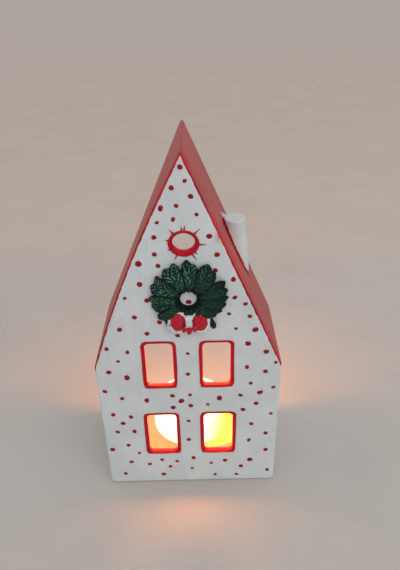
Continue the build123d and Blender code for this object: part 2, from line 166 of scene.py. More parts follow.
class HouseSizes(bpy.types.PropertyGroup):
    """Sizes of the plaster house that its paint follows."""

    eave_height: mm("Height of the eaves", 73)
    ridge_height: mm("Height where the roof faces meet", 166)
    front_wall: mm("Thickness of the front wall", 2.4)
    wall: mm("Thickness of the sides and the roof", 3.5)
    floor_thickness: mm("Thickness of the house's floor", 4.5)
    upper_width: mm("Width of an upper window", 11.8)
    upper_height: mm("Height of an upper window", 23)
    upper_offset: mm("House axis to the middle of an upper window", 12.2)
    upper_sill: mm("Height of the upper sills", 62)
    lower_width: mm("Width of a lower window", 13.2)
    lower_height: mm("Height of a lower window", 23.8)
    lower_offset: mm("House axis to the middle of a lower window", 12.9)
    lower_sill: mm("Height of the lower sills", 21)
    corner_radius: mm("Corner radius of the windows", 2)
    attic_width: mm("Width of the attic oval", 8.6)
    attic_height: mm("Height of the attic oval", 7.6)
    attic_centre: mm("Height of the attic oval's centre", 131.5)
    left_bow: mm("How far the left slope swells at the facade", 2.2)
    chimney_reach: mm("House axis to the chimney's axis", 20.74)
    chimney_radius: mm("Radius of the chimney at its top", 4.5)
    chimney_lean_share: number("Growth of its radius per length down", 0.091)


class PaintSizes(bpy.types.PropertyGroup):
    """Sizes of the raised paint."""

    dot: mm("Width of a plain dot", 1.9)
    dot_tall_share: number("Height of a dot, as a share of its width", 1.3)
    dot_height: mm("How far a dot stands proud", 0.32)
    small_share: number("Small dots, as a share", 0.78)
    large_share: number("Large dots, as a share", 1.25)
    rim: mm("Rounded rim between an opening and its frame", 0.3)
    jamb: mm("Width of a window frame at the sides", 1.75)
    lintel: mm("Width of a window frame at the top", 1.7)
    foot: mm("Width of a window frame at the foot", 0.9)
    ring: mm("Width of the painted ring of the attic window", 1.95)
    ring_drop: mm("How much wider the ring is at its foot than at its top", 0.5)
    thickness: mm("Thickness of the brushed paint", 0.28)
    wobble: mm("How far a brushed edge wanders", 0.5)
    edge_share: number("Rounding of brushed paint, as a share of its thickness", 0.45)
    ray: mm("Width of a ray at its root", 0.8)
    ray_root_share: number("Where a ray starts, as a share of the ring's reach", 0.88)
    ray_thickness_share: number("Thickness of a ray, as a share of the ring's", 0.8)
    seed: IntProperty(description="Seed of the hand-made unevenness", default=11)


class LeafSizes(bpy.types.PropertyGroup):
    """Sizes of the wreath and its leaves."""

    wreath_height: mm("Height of the wreath's centre", 107.3)
    length: mm("Length of the modelled leaf", 12)
    width: mm("Width of the modelled leaf", 6)
    root: mm("Wreath centre to a leaf's root", 3.3)
    rib: mm("Height of the midrib over the leaf's edge", 1.25)
    arch: mm("Rise of a leaf's middle over its ends", 1.5)
    lift: mm("Height of a leaf's root and tip over the wall", 0.8)
    overlap: mm("Rise of every second leaf over its neighbours", 0.5)
    slant_share: number("How far a leaf's edge leans to the tip, as a share of its length", 0.14)
    valley_share: number("Rib height between two teeth, as a share", 0.6)
    tip_rib_share: number("Rib height at the tip, as a share", 0.5)
    arch_power: number("Below 1, a leaf's highest point moves towards its root", 0.8)
    sheet: mm("Thickness of a leaf", 0.5)
    hole: mm("Radius of the wreath's hole", 3.2)
    mound: mm("Outer radius of the ring that carries the leaves", 12.2)
    mound_height: mm("How far that ring stands proud", 2.3)
    bud: mm("Radius of the small bud", 1.2)
    sprig: mm("Width of the sprig beside the bow", 3.2)
    sprig_flat_share: number("Height of the sprig, as a share of a leaf's", 0.7)


class BowSizes(bpy.types.PropertyGroup):
    """Sizes of the bow and of the red paint on it."""

    height: mm("Height of the bow's centre", 97.6)
    reach_share: number("Reach of a lobe, as a share of the solid bow's", 1.05)
    lobe_height: mm("Height of a lobe at its widest", 10.2)
    lobe_depth_share: number("Depth of a lobe, as a share of the bow's", 0.72)
    root_depth_share: number("Depth of a lobe at the knot, as a share", 0.8)
    root_height_share: number("Height of a lobe at the knot, as a share", 0.5)
    end_depth_share: number("Depth of a lobe at its end, as a share", 0.7)
    end_height_share: number("Height of a lobe at its end, as a share", 0.75)
    ragged: mm("How far the lobes' points stray", 0.5)
    lobe_paint_share: number("Middle of the red patch, as a share of a lobe's reach", 0.51)
    lobe_paint_width: mm("Width of the red patch on a lobe", 6.2)
    lobe_paint_height: mm("Height of the red patch on a lobe", 8.3)
    lobe_paint_rise: mm("Bow centre up to the middle of those patches", 0.4)
    knot_width: mm("Width of the knot", 3.6)
    knot_height: mm("Height of the knot", 5.2)
    knot_rise: mm("Bow centre to knot centre", 1.1)
    knot_edge: mm("Rounding of the knot", 1.2)
    tail_width: mm("Width of the tail", 5.2)
    tail_thickness: mm("How far the tail stands proud", 4.0)
    tail_drop: mm("Bow centre to the top of the tail", 1.2)
    tail_edge: mm("Rounding of the tail", 0.6)
    tip_width_share: number("Width of the tail's tip, as a share", 0.18)
    tip_depth_share: number("Depth of the tail's tip, as a share", 0.8)
    tail_paint_width: mm("Width of the red patch on the tail", 5.6)
    tail_paint_height: mm("Height of the red patch on the tail", 4.4)


class HouseColours(bpy.types.PropertyGroup):
    """Colours of the finishes and the lights."""

    plaster: rgb("White wall paint", (0.645, 0.68, 0.69))
    plaster_shade: rgb("Greyer patches of the wall paint", (0.575, 0.61, 0.615))
    # The orange-tan of the inside is painted candle glow on the bare plaster
    inside: rgb("Bare plaster inside the house", (0.60, 0.46, 0.31))
    # Grey of the specks and scratches, and of the painted shade along the foot of the walls
    grime: rgb("Specks, scratches and dirt", (0.16, 0.16, 0.16))
    red: rgb("Thick red paint", (0.58, 0.003, 0.020))
    # Dark red of pooled paint, and of the painted shade along the ridge
    red_dark: rgb("Red paint where it has pooled", (0.28, 0.001, 0.010))
    dot: rgb("Crimson of the dots", (0.36, 0.003, 0.016))
    roof: rgb("Red paint brushed out on the roof", (0.385, 0.032, 0.027))
    # Red paint of the reveals, brightened to pink as painted candle glow
    reveal: rgb("Thin red paint inside the openings", (0.80, 0.085, 0.16))
    roof_thin: rgb("Roof paint where the plaster shows through", (0.52, 0.132, 0.105))
    leaf: rgb("Green of the leaves", (0.008, 0.052, 0.030))
    # Painted shade: near-black green in the recesses and the gaps between leaves
    leaf_shade: rgb("Green in the recesses", (0.0018, 0.0095, 0.0068))
    leaf_light: rgb("Pale green brushed on the ridges", (0.075, 0.26, 0.16))
    bud: rgb("Pale green of the bud", (0.05, 0.16, 0.10))
    plastic: rgb("White plastic", (0.72, 0.70, 0.65))
    dark_plastic: rgb("Plastic of the switch", (0.022, 0.022, 0.024))
    diode: rgb("Amber epoxy of the diode", (0.85, 0.55, 0.22))
    tin: rgb("Tinned wire leads", (0.62, 0.61, 0.58))
    steel: rgb("Steel of the coin cell", (0.62, 0.61, 0.60))
    brass: rgb("Brass of the contacts", (0.66, 0.44, 0.16))
    glow: rgb("Light of the tealight", (1.0, 0.44, 0.10))
    glow_core: rgb("Light nearest the diode", (1.0, 0.98, 0.78))
    glow_side: rgb("Light at the body's right side", (1.0, 0.90, 0.08))
    glow_pool: rgb("Light that falls beside the body", (1.0, 0.86, 0.10))
    candlelight: rgb("Light that falls on the house and the floor", (1.0, 0.36, 0.09))
    key_light: rgb("Soft light from above", (1.0, 0.98, 0.95))
    room: rgb("Even light all round", (0.96, 0.98, 1.0))
    floor: rgb("Pale floor", (0.52, 0.475, 0.44))
    floor_far: rgb("Pale floor far behind the house", (0.59, 0.49, 0.42))


class StageSettings(bpy.types.PropertyGroup):
    """Camera, floor and light."""

    camera_place: place_mm("Place of the camera", (5.16, -201.2, 220.7))
    yaw: degrees("Turn to the right", 0.20)
    pitch: degrees("Tilt downwards", 31.08)
    roll: degrees("Turn about the view", -1.18)
    focal_pixels: number("Focal length in photograph pixels", 537)
    floor_size: mm("Side of the floor", 30000)
    far_start: mm("Where the floor behind the house starts to turn warmer", 150)
    far_end: mm("Where it has turned", 290)
    world: number("Strength of the even light all round", 0.72)
    key: number("Power of the soft light from above", 2.6)
    key_place: place_mm("Place of that light", (300, -600, 700))
    key_aim: place_mm("Where that light points", (0, 0, 70))
    key_size: mm("Width of that light", 800)
    glow: number("Emission strength of the tealight's body", 1.2)
    flame: number("Emission strength of the flame", 7)
    candlelight: number("Power of the warm light over the flame", 0.085)
    candle_lift: mm("Height of the warm light over the flame's tip", 36)
    candle_size: mm("Radius of that light", 12)
    loft: number("Power of the warm light that the roof throws back", 0.055)
    loft_height: mm("Height of that light", 86)
    loft_size: mm("Width of that light", 58)
    loft_length: mm("Length of that light, front to back", 20)
    loft_forward: mm("Tealight's axis to the middle of that light, forwards", 4.8)
    wall: number("Power of the warm light that each side wall throws back", 0.024)
    wall_place: place_mm("Tealight's foot to the right wall's light", (29.5, -12.8, 69.5))
    wall_aim: place_mm("Tealight's foot to where both wall lights point", (0, -60.8, -4.5))
    wall_size: mm("Width of a wall light", 15)
    pool: number("Power of the yellow light beside the body", 0.2)
    pool_place: place_mm("Tealight's foot to the yellow light", (22.5, -5.8, 61.5))
    pool_aim: place_mm("Tealight's foot to the middle of the yellow pool", (9.5, 1.7, 0))
    pool_angle: degrees("Full angle of the yellow light's cone", 42.8)
    pool_blend: number("Soft edge of that cone, as a share", 0.08)


class Wire:
    """One output socket of a finish. Arithmetic on it adds Math nodes."""

    def __init__(self, finish, socket):
        self.finish = finish
        self.socket = socket

    def math(self, operation, *values):
        return self.finish.node("ShaderNodeMath", {"operation": operation}, dict(enumerate(values)))

    def __add__(self, other):
        return self.math("ADD", self, other)

    def __radd__(self, other):
        return self.math("ADD", other, self)

    def __sub__(self, other):
        return self.math("SUBTRACT", self, other)

    def __rsub__(self, other):
        return self.math("SUBTRACT", other, self)

    def __mul__(self, other):
        return self.math("MULTIPLY", self, other)

    def __truediv__(self, other):
        return self.math("DIVIDE", self, other)

    def __abs__(self):
        return self.math("ABSOLUTE", self)

    def least(self, other):
        return self.math("MINIMUM", self, other)

    def most(self, other):
        return self.math("MAXIMUM", self, other)

    def sine(self):
        return self.math("SINE", self)

    def hypot(self, other):
        square = self * self + other * other
        return square.math("SQRT", square)


class Finish:
    """One procedural material: its nodes, and short words for the ones that are used again and again."""

    def __init__(self, name):
        self.material = bpy.data.materials.new(name)
        self.material.use_nodes = True
        self.tree = self.material.node_tree
        self.shader = self.tree.nodes["Principled BSDF"]
        place = self.node("ShaderNodeTexCoord", output="Object")
        self.place = self.node("ShaderNodeVectorMath", {"operation": "SCALE"}, {0: place, "Scale": 1 / MM})

    def node(self, kind, settings=None, inputs=None, output=0):
        """Add a node, with its settings first and then its inputs, and return one of its outputs."""
        made = self.tree.nodes.new(kind)
        for key, value in (settings or {}).items():
            setattr(made, key, value)
        for key, value in (inputs or {}).items():
            self.feed(made.inputs[key], value)
        return Wire(self, made.outputs[output])

    def feed(self, socket, value):
        """Link a wire to a socket, or set the socket's own value."""
        if isinstance(value, Wire):
            self.tree.links.new(value.socket, socket)
        elif socket.type == "RGBA":
            socket.default_value = (*value, 1)
        else:
            socket.default_value = value

    def set(self, **inputs):
        """Give the shader's sockets, named with underscores, their values or wires."""
        for key, value in inputs.items():
            self.feed(self.shader.inputs[key.replace("_", " ")], value)

    def axes(self):
        """Object coordinates in millimetres, as three wires."""
        split = self.node("ShaderNodeSeparateXYZ", inputs={0: self.place}).socket.node
        return [Wire(self, split.outputs[axis]) for axis in "XYZ"]

    def ramp(self, value, start, end):
        """0 at start and 1 at end, eased between them."""
        limits = {"Value": value, "From Min": start, "From Max": end}
        return self.node("ShaderNodeMapRange", {"interpolation_type": "SMOOTHSTEP"}, limits)

    def noise(self, size, detail=3, stretch=(1, 1, 1), seed=0):
        """Noise from 0 to 1 whose grains are about this many millimetres across."""
        turned = self.node("ShaderNodeMapping", inputs={
            "Vector": self.place, "Location": (seed, seed, seed), "Scale": stretch,
        })
        return self.node("ShaderNodeTexNoise", inputs={
            "Vector": turned, "Scale": 1 / size, "Detail": detail, "Roughness": 0.55,
        })

    def cells(self, size):
        """Distance to the nearest of scattered points, about this many millimetres apart."""
        points = {"Vector": self.place, "Scale": 1 / size}
        return self.node("ShaderNodeTexVoronoi", inputs=points, output="Distance")

    def mix(self, factor, first, second):
        """Colour between two colours or wires of colour."""
        return self.node("ShaderNodeMix", {"data_type": "RGBA"}, {0: factor, 6: first, 7: second}, output=2)

    def near(self, point, radius):
        """1 at a point of the facade, given in metres, fading to 0 at a radius in millimetres."""
        away = self.node("ShaderNodeVectorMath", {"operation": "DISTANCE"}, {
            0: self.place, 1: tuple(point / MM),
        }, output="Value")
        return self.ramp(away, radius, 0)

    def bump(self, height, depth):
        """Normal from a height of 0 to 1 that stands for this many millimetres."""
        return self.node("ShaderNodeBump", inputs={"Strength": 1, "Distance": depth * MM, "Height": height})


class Millimetres:
    """Lengths of a property group, read in millimetres as the finishes use them."""

    def __init__(self, group):
        self.group = group

    def __getattr__(self, name):
        return getattr(self.group, name) / MM


def settings():
    """The add-on's property groups."""
    return bpy.context.scene.tealight_house


def camera_matrix():
    """Where the camera stands and how it is turned."""
    stage = settings().stage
    turn = Matrix.Rotation(-stage.yaw, 4, "Z") @ Matrix.Rotation(QUARTER_TURN - stage.pitch, 4, "X")
    return Matrix.Translation(stage.camera_place) @ turn @ Matrix.Rotation(stage.roll, 4, "Z")


def on_facade(pixel, proud=0):
    """Point of the facade, or of a plane that stands proud of it, that a pixel of the photograph shows."""
    view = camera_matrix()
    across = (pixel[0] - PHOTO_SIZE[0] / 2) / settings().stage.focal_pixels
    down = (pixel[1] - PHOTO_SIZE[1] / 2) / settings().stage.focal_pixels
    ray = view.to_3x3() @ Vector((across, -down, -1))
    start = view.translation
    return start + ray * (FRONT - proud - start.y) / ray.y


def clear_selection():
    """Object mode with nothing selected, so that the next operator acts on the next piece alone."""
    if bpy.context.mode != "OBJECT":
        bpy.ops.object.mode_set(mode="OBJECT")
    bpy.ops.object.select_all(action="DESELECT")


def make_active(piece):
    """Select one piece alone and make it active."""
    clear_selection()
    bpy.context.view_layer.objects.active = piece
    piece.select_set(True)


def edit_all():
    """Edit mode on the active piece, with all of it selected."""
    bpy.ops.object.mode_set(mode="EDIT")
    bpy.ops.mesh.select_all(action="SELECT")


def pick(test):
    """In edit mode, select the vertices that pass a test, and nothing else."""
    data = bpy.context.edit_object.data
    mesh = bmesh.from_edit_mesh(data)
    for vert in mesh.verts:
        vert.select = test(vert)
    mesh.select_flush_mode()
    bmesh.update_edit_mesh(data)


def modify(piece, kind, **values):
    """Add a modifier to a piece and apply it."""
    make_active(piece)
    modifier = piece.modifiers.new(kind.title(), kind)
    for key, value in values.items():
        setattr(modifier, key, value)
    bpy.ops.object.modifier_apply(modifier=modifier.name)


def settle(piece):
    """Put a piece's place, turn and scale into its mesh."""
    make_active(piece)
    bpy.ops.object.transform_apply(location=True, rotation=True, scale=True)


def copy_of(piece, matrix):
    """A copy with its own mesh, placed by a matrix."""
    make_active(piece)
    bpy.ops.object.duplicate(linked=False)
    made = bpy.context.object
    made.matrix_world = matrix
    settle(made)
    return made


def block(middle, size):
    """A box with this middle and size."""
    clear_selection()
    bpy.ops.mesh.primitive_cube_add(size=1, location=middle)
    bpy.ops.transform.resize(value=size)
    settle(bpy.context.object)
    return bpy.context.object


def join(pieces, name):
    """Join pieces into one, under a name."""
    clear_selection()
    for piece in pieces:
        piece.select_set(True)
    bpy.context.view_layer.objects.active = pieces[0]
    bpy.ops.object.join()
    joined = bpy.context.object
    joined.name = joined.data.name = name
    return joined


def finish_piece(piece, finish, angle=40):
    """Shade a finished piece, give it its material and slot, and let it ride on the house."""
    make_active(piece)
    edit_all()
    bpy.ops.mesh.normals_make_consistent(inside=False)
    bpy.ops.object.mode_set(mode="OBJECT")
    bpy.ops.object.shade_smooth_by_angle(angle=math.radians(angle))
    piece.data.materials.clear()
    piece.data.materials.append(finish)
    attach(piece, "house")
    return piece


def dress(node, finish):
    """Give a node of the frame its finish."""
    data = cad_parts[node].data
    data.materials.clear()
    data.materials.append(finish)


def plaster_finish():
    """White wall paint on plaster, with the brushed red roof, its edge lines and the painted reveals, with
    painted shade along the foot and the ridge and painted candle glow in the cavity and deep in the reveals.
    """
    sizes, colours = Millimetres(settings().house), settings().colours
    finish = Finish("painted_plaster")
    x, y, z = finish.axes()
    front = FRONT / MM
    half = HALF_WIDTH / MM
    ridge = sizes.ridge_height
    rise = ridge - sizes.eave_height
    slant = half / math.hypot(half, rise)
    depth = y - front
    right = finish.ramp(x, -0.5, 0.5)
    fall = (ridge - z) / rise
    house_depth = (house_high.y - FRONT) / MM
    straightened = 1 - depth / house_depth
    swell = (fall * (1 - fall) * 4).least(straightened) * sizes.left_bow * (1 - right)
    roof_depth = (ridge - z - abs(x) * (rise / half)) * slant
    under_roof = roof_depth + swell

    # Wall paint: greyer patches, brush marks, specks, a smear and scratches, and painted shade along the foot
    patches = finish.noise(14, detail=4)
    brush = finish.noise(2.2, detail=4, stretch=(1, 1, 0.22), seed=3)
    grain = finish.noise(0.55, detail=4, seed=7)
    white = finish.ramp(patches * 0.7 + brush * 0.3, 0.36, 0.66)
    wall = finish.mix(white, colours.plaster_shade, colours.plaster)
    specks = finish.ramp(finish.cells(6), 0.055, 0.03) * finish.ramp(finish.noise(9, seed=21), 0.52, 0.6)
    wall = finish.mix(specks * 0.7, wall, colours.grime)
    smear = finish.near(on_facade(SMEAR_PIXEL), 4.5) * finish.ramp(finish.noise(1.6, seed=5), 0.3, 0.5)
    wall = finish.mix(smear * 0.9, wall, colours.roof_thin)
    streaks = finish.ramp(finish.noise(0.5, detail=1, stretch=(1, 1, 0.08), seed=9), 0.60, 0.68)
    scratches = streaks * finish.near(on_facade(SCRATCH_PIXEL), 5)
    wall = finish.mix(scratches * 0.6, wall, colours.grime)
    # Painted shade along the foot of the walls, where they meet the floor
    foot_shade = finish.ramp(z + patches * 2, 2.4, 0.4)
    wall = finish.mix(foot_shade * 0.22, wall, colours.grime)

    # Bare plaster in the cavity, whose surface lies at 0, tinted orange-tan as painted candle glow
    cavity = (half - abs(x)).least(roof_depth) - sizes.wall
    cavity = cavity.least(depth - sizes.front_wall).least(z - sizes.floor_thickness)
    dim_glow_tint = [part * 0.86 for part in colours.inside]
    inside = finish.mix(finish.ramp(patches * 0.4 + grain * 0.6, 0.4, 0.6), dim_glow_tint, colours.inside)
    wall = finish.mix(finish.ramp(cavity, -0.2, -0.05), wall, inside)

    # Roof paint: brushed along the slope, thin between the strokes, thick along the front edge, with painted
    # shade along the ridge
    stroke = finish.noise(2.6, detail=5, stretch=(0.05, 1, 0.05), seed=13)
    stroke_fine = finish.noise(0.9, detail=3, stretch=(0.04, 1, 0.04), seed=17)
    thin = finish.ramp(stroke * 0.6 + stroke_fine * 0.4, 0.47, 0.60)
    roof = finish.mix(thin, colours.roof, colours.roof_thin)
    pooled = finish.ramp(stroke * 0.45 + stroke_fine * 0.55, 0.48, 0.38)
    roof = finish.mix(pooled * 0.85, roof, colours.red_dark)
    wander = finish.noise(3.2, detail=3, seed=19)
    edge_reach = 3.5 + right * 6
    edge_line = finish.ramp(depth / edge_reach + wander * 0.9 + stroke_fine * 0.5, 1.9, 1.2)
    thick = finish.mix(finish.ramp(stroke_fine, 0.42, 0.58), colours.red_dark, colours.red)
    roof = finish.mix(edge_line, roof, thick)
    chimney_y = (chimney_high.y + chimney_low.y) / 2 / MM
    chimney_top = chimney_high.z / MM
    lean = settings().house.chimney_lean_share
    column = (chimney_top - z) * lean + sizes.chimney_radius
    column_away = (x - sizes.chimney_reach).hypot(y - chimney_y) - column
    below_top = finish.ramp(z, chimney_top + 1, chimney_top - 1)
    foot_line = finish.ramp(column_away + wander * 1.6, 2.2, 1.4) * below_top
    roof = finish.mix(foot_line * right, roof, thick)
    bare_line = chimney_top + 3.7 - (y - chimney_y) * 0.55
    behind = finish.ramp(bare_line - z + wander * 1.5, 1.2, 2) * finish.ramp(y - chimney_y, 2, 4) * right
    roof = finish.mix(behind * finish.ramp(z, chimney_low.z / MM + 8, chimney_low.z / MM + 14), roof, wall)
    # Painted shade: a darker red line along the rounded ridge
    roof = finish.mix(finish.ramp(abs(x) + wander, 1.3, 0.7) * 0.7, roof, colours.red_dark)
    on_roof = finish.ramp(abs(under_roof) - wander * 0.9, 0.32, 0.12)

    # Red under the frames and through the openings, turning bright pink deeper in as painted candle glow on
    # the red reveals
    framed = None
    openings = (
        (sizes.upper_offset, sizes.upper_sill, sizes.upper_width, sizes.upper_height),
        (sizes.lower_offset, sizes.lower_sill, sizes.lower_width, sizes.lower_height),
    )
    for offset, sill, width, height in openings:
        across = abs(abs(x) - offset) - width / 2
        along = abs(z - (sill + height / 2)) - height / 2
        away = across.most(along)
        framed = away if framed is None else framed.least(away)
    oval = (x / (sizes.attic_width / 2)).hypot((z - sizes.attic_centre) / (sizes.attic_height / 2))
    framed = framed.least((oval - 1) * (sizes.attic_height / 2))
    in_wall = finish.ramp(depth, sizes.front_wall, sizes.front_wall - 0.1)
    framed = finish.ramp(framed + wander * 0.4, 1.3, 1.0) * in_wall
    # Deeper in, the red turns pink: painted candle glow
    frame_paint = finish.mix(finish.ramp(depth + wander * 0.6, 1.6, 2.4), thick, colours.reveal)

    paint = on_roof.most(framed)
    colour = finish.mix(on_roof, wall, roof)
    colour = finish.mix(framed, colour, frame_paint)
    pits = finish.ramp(finish.cells(1.7), 0.16, 0.06) * finish.ramp(finish.noise(4, seed=23), 0.5, 0.62)
    relief = patches * 0.35 + brush * 0.25 + grain * 0.12 - pits * 0.5
    paint_relief = stroke * 0.45 + stroke_fine * 0.35 + patches * 0.1
    height = relief * (1 - paint) + (paint_relief + 0.35) * paint
    roughness = (0.82 - grain * 0.12) * (1 - paint) + (0.36 + thin * 0.22) * paint
    finish.set(Base_Color=colour, Roughness=roughness,
               Normal=finish.bump(height, 0.32), Specular_IOR_Level=0.2)
    return finish.material


def red_paint_finish(name, colour):
    """Thick brushed red paint, darker where it has pooled."""
    finish = Finish(name)
    pools = finish.noise(1.1, detail=4)
    strokes = finish.noise(0.35, detail=3, seed=4)
    shade = finish.ramp(pools * 0.7 + strokes * 0.3, 0.38, 0.62)
    pooled = [part * 0.55 for part in colour]
    finish.set(Base_Color=finish.mix(shade, pooled, colour), Roughness=0.34 + strokes * 0.2,
               Normal=finish.bump(pools * 0.6 + strokes * 0.4, 0.12), Specular_IOR_Level=0.25)
    return finish.material


def leaf_finish():
    """Dark green paint with painted shade, almost black, in the recesses and the gaps between leaves, pale
    green dry-brushed on the ribs, and a painted highlight towards the upper left.
    """
    colours = settings().colours
    finish = Finish("leaf_paint")
    x, y, z = finish.axes()
    along, across = (
        finish.node("ShaderNodeAttribute", {"attribute_name": name}, output="Fac") for name in LEAF_AXES
    )
    # Painted shade: the nearer the wall, the darker the leaf
    proud = finish.ramp(y, FRONT / MM - 0.8, FRONT / MM - 3.8)
    veins = finish.noise(0.7, detail=4, seed=2)
    patch = finish.noise(3.2, detail=2, seed=6)
    turns = (along * 6.5 - abs(across) * 1.5 + patch * 3 + veins * 1.2) * math.tau
    crest = turns.sine() * 0.5 + 0.5
    # Painted shadow along each leaf's edges and at its root, where the leaves overlap
    gap_shadow = finish.ramp(abs(across) + veins * 0.3, 0.75, 1.1).most(finish.ramp(along + veins * 0.1, 0.2, 0.05))
    level = crest * 0.5 + proud * 0.5 + veins * 0.5 - gap_shadow * 0.8
    base = finish.mix(finish.ramp(level, 0.45, 1.15), colours.leaf_shade, colours.leaf)
    # Painted highlight: more pale green towards the upper left of the wreath
    lit_upper_left = finish.ramp(z - settings().leaf.wreath_height / MM - x, -4, 14)
    fleck = finish.noise(1.1, detail=2, seed=14)
    dry = crest * 0.5 + veins * 0.7 + fleck * 0.9 + patch * 0.4 + lit_upper_left * 0.25 - gap_shadow * 0.5
    colour = finish.mix(finish.ramp(dry, 1.5, 1.85), base, colours.leaf_light)
    colour = finish.mix(finish.near(bud_place(), 1.6) * (0.4 + veins * 0.6), colour, colours.bud)
    finish.set(Base_Color=colour, Roughness=0.5 + veins * 0.2,
               Normal=finish.bump(veins * 0.6 + crest * 0.6, 0.7), Specular_IOR_Level=0.22)
    return finish.material


def bow_finish(patches):
    """White plaster with red paint brushed on the middle of each lobe and on the tail."""
    colours = settings().colours
    finish = Finish("bow_paint")
    x, _, z = finish.axes()
    wander = finish.noise(1.3, detail=3, seed=8)
    grain = finish.noise(0.5, detail=4, seed=12)
    paint = None
    for centre, half_size in patches:
        across = abs(x - centre.x / MM) / (half_size[0] / MM)
        along = abs(z - centre.z / MM) / (half_size[1] / MM)
        octagon = across.most(along).most((across + along) * 0.7)
        patch = finish.ramp(octagon + wander * 0.3, 1.17, 1.11)
        paint = patch if paint is None else paint.most(patch)
    red = finish.mix(finish.ramp(wander, 0.35, 0.6), colours.red_dark, colours.red)
    white = finish.mix(finish.ramp(grain, 0.3, 0.7), colours.plaster_shade, colours.plaster)
    specks = finish.ramp(finish.cells(1.5), 0.3, 0.2) * finish.ramp(finish.noise(3, seed=15), 0.47, 0.55)
    white = finish.mix(specks, white, colours.leaf)
    finish.set(Base_Color=finish.mix(paint, white, red), Roughness=0.75 - paint * 0.35,
               Normal=finish.bump(wander * 0.5 + grain * 0.3 + paint * 0.5, 0.2), Specular_IOR_Level=0.45)
    return finish.material


def lit_plastic_finish():
    """White plastic of the tealight's body, lit from within: brightest on top, yellower at its right."""
    colours, stage = settings().colours, settings().stage
    finish = Finish("lit_white_plastic")
    x, _, z = finish.axes()
    middle = (candle_low + candle_high) / 2 / MM
    radius = (candle_high.x - candle_low.x) / 2 / MM
    grain = finish.noise(0.8, detail=3)
    cloud = finish.noise(7, detail=2, seed=5)
    aside = finish.ramp((x - middle.x) / radius + cloud * 0.2, 0.35, 1.05)
    tone = finish.mix(aside, colours.glow_core, colours.glow_side)
    rise = finish.ramp(z, candle_low.z / MM - 4, candle_high.z / MM)
    glow = finish.mix(0.7 + rise * 0.3, (0, 0, 0), tone)
    white = finish.mix(grain, [0.92 * part for part in colours.plastic], colours.plastic)
    finish.set(Base_Color=white, Roughness=0.42 + grain * 0.12, Normal=finish.bump(grain, 0.05),
               Emission_Color=glow, Emission_Strength=stage.glow)
    return finish.material


def flame_finish():
    """Frosted flame, orange at its foot and white-yellow in its middle."""
    colours, stage = settings().colours, settings().stage
    finish = Finish("lit_flame")
    z = finish.axes()[2]
    frost = finish.noise(0.7, detail=3)
    rise = finish.ramp(z, flame_low.z / MM + 4, flame_high.z / MM)
    tone = finish.mix(finish.ramp(abs(rise - 0.45) + frost * 0.2, 0.5, 0.12), colours.glow, colours.glow_core)
    finish.set(Base_Color=finish.mix(frost, colours.glow, colours.plastic), Roughness=0.3 + frost * 0.2,
               Normal=finish.bump(frost, 0.06), Emission_Color=tone, Emission_Strength=stage.flame)
    return finish.material


def plain_finish(name, colour, roughness, metallic=0.0, stretch=(1, 1, 1)):
    """Moulded plastic or drawn metal: grain in colour, gloss and height."""
    finish = Finish(name)
    grain = finish.noise(0.4, detail=4, stretch=stretch)
    cloud = finish.noise(3.6, detail=2, seed=3)
    worn = [part * 0.72 for part in colour]
    finish.set(Base_Color=finish.mix(finish.ramp(grain * 0.6 + cloud * 0.4, 0.35, 0.62), worn, colour),
               Roughness=roughness + grain * 0.18, Metallic=metallic, Normal=finish.bump(grain, 0.04))
    return finish.material


def wobble(amount, seed):
    """Shake the selected outline in the facade's plane and smooth it, as an unsteady brush does."""
    bpy.ops.transform.vertex_random(offset=amount, uniform=1, normal=0, seed=seed)
    bpy.ops.transform.resize(value=(1, 0, 1), center_override=(0, FRONT, 0))
    bpy.ops.mesh.vertices_smooth(factor=0.5, repeat=2, yaxis=False)


def brushed_ring(name, centre, inner, outer, rise, seed):
    """Turn the outline in edit mode into a ring of brushed paint: extrude, widen, shake and thicken."""
    paint = settings().paint
    bpy.ops.mesh.select_all(action="SELECT")
    for share in (0.5, 1):
        bpy.ops.mesh.extrude_region_move()
        now = [inner[axis] + (outer[axis] - inner[axis]) * (share - 0.5) for axis in (0, 1)]
        wanted = [inner[axis] + (outer[axis] - inner[axis]) * share for axis in (0, 1)]
        grow = (wanted[0] / now[0], 1, wanted[1] / now[1])
        bpy.ops.transform.resize(value=grow, center_override=centre)
        bpy.ops.transform.translate(value=(0, 0, rise / 2))
    wobble(paint.wobble, seed)
    bpy.ops.mesh.select_all(action="SELECT")
    wobble(paint.wobble * 0.45, seed + 1)
    bpy.ops.mesh.normals_make_consistent(inside=False)
    bpy.ops.object.mode_set(mode="OBJECT")
    ring = bpy.context.object
    ring.name = ring.data.name = name
    settle(ring)
    face_out(ring)
    modify(ring, "SOLIDIFY", thickness=paint.thickness, offset=1)
    modify(ring, "BEVEL", width=paint.thickness * paint.edge_share, segments=2, limit_method="ANGLE")
    return ring


def face_out(piece):
    """Turn a flat piece so that its faces look away from the wall."""
    if piece.data.polygons[0].normal.y > 0:
        make_active(piece)
        edit_all()
        bpy.ops.mesh.flip_normals()
        bpy.ops.object.mode_set(mode="OBJECT")


def window_frame(name, centre, width, height, seed):
    """Painted frame round one window."""
    sizes, paint = settings().house, settings().paint
    inner = (width / 2 + paint.rim, height / 2 + paint.rim)
    outer = (inner[0] + paint.jamb, inner[1] + (paint.lintel + paint.foot) / 2)
    clear_selection()
    bpy.ops.mesh.primitive_plane_add(size=1, location=centre, rotation=(QUARTER_TURN, 0, 0))
    bpy.ops.transform.resize(value=(2 * inner[0], 1, 2 * inner[1]))
    settle(bpy.context.object)
    edit_all()
    bpy.ops.mesh.bevel(offset=sizes.corner_radius + paint.rim, segments=4, affect="VERTICES")
    bpy.ops.mesh.delete(type="ONLY_FACE")
    bpy.ops.mesh.select_all(action="SELECT")
    bpy.ops.mesh.subdivide(number_cuts=2)
    return brushed_ring(name, centre, inner, outer, (paint.lintel - paint.foot) / 2, seed)


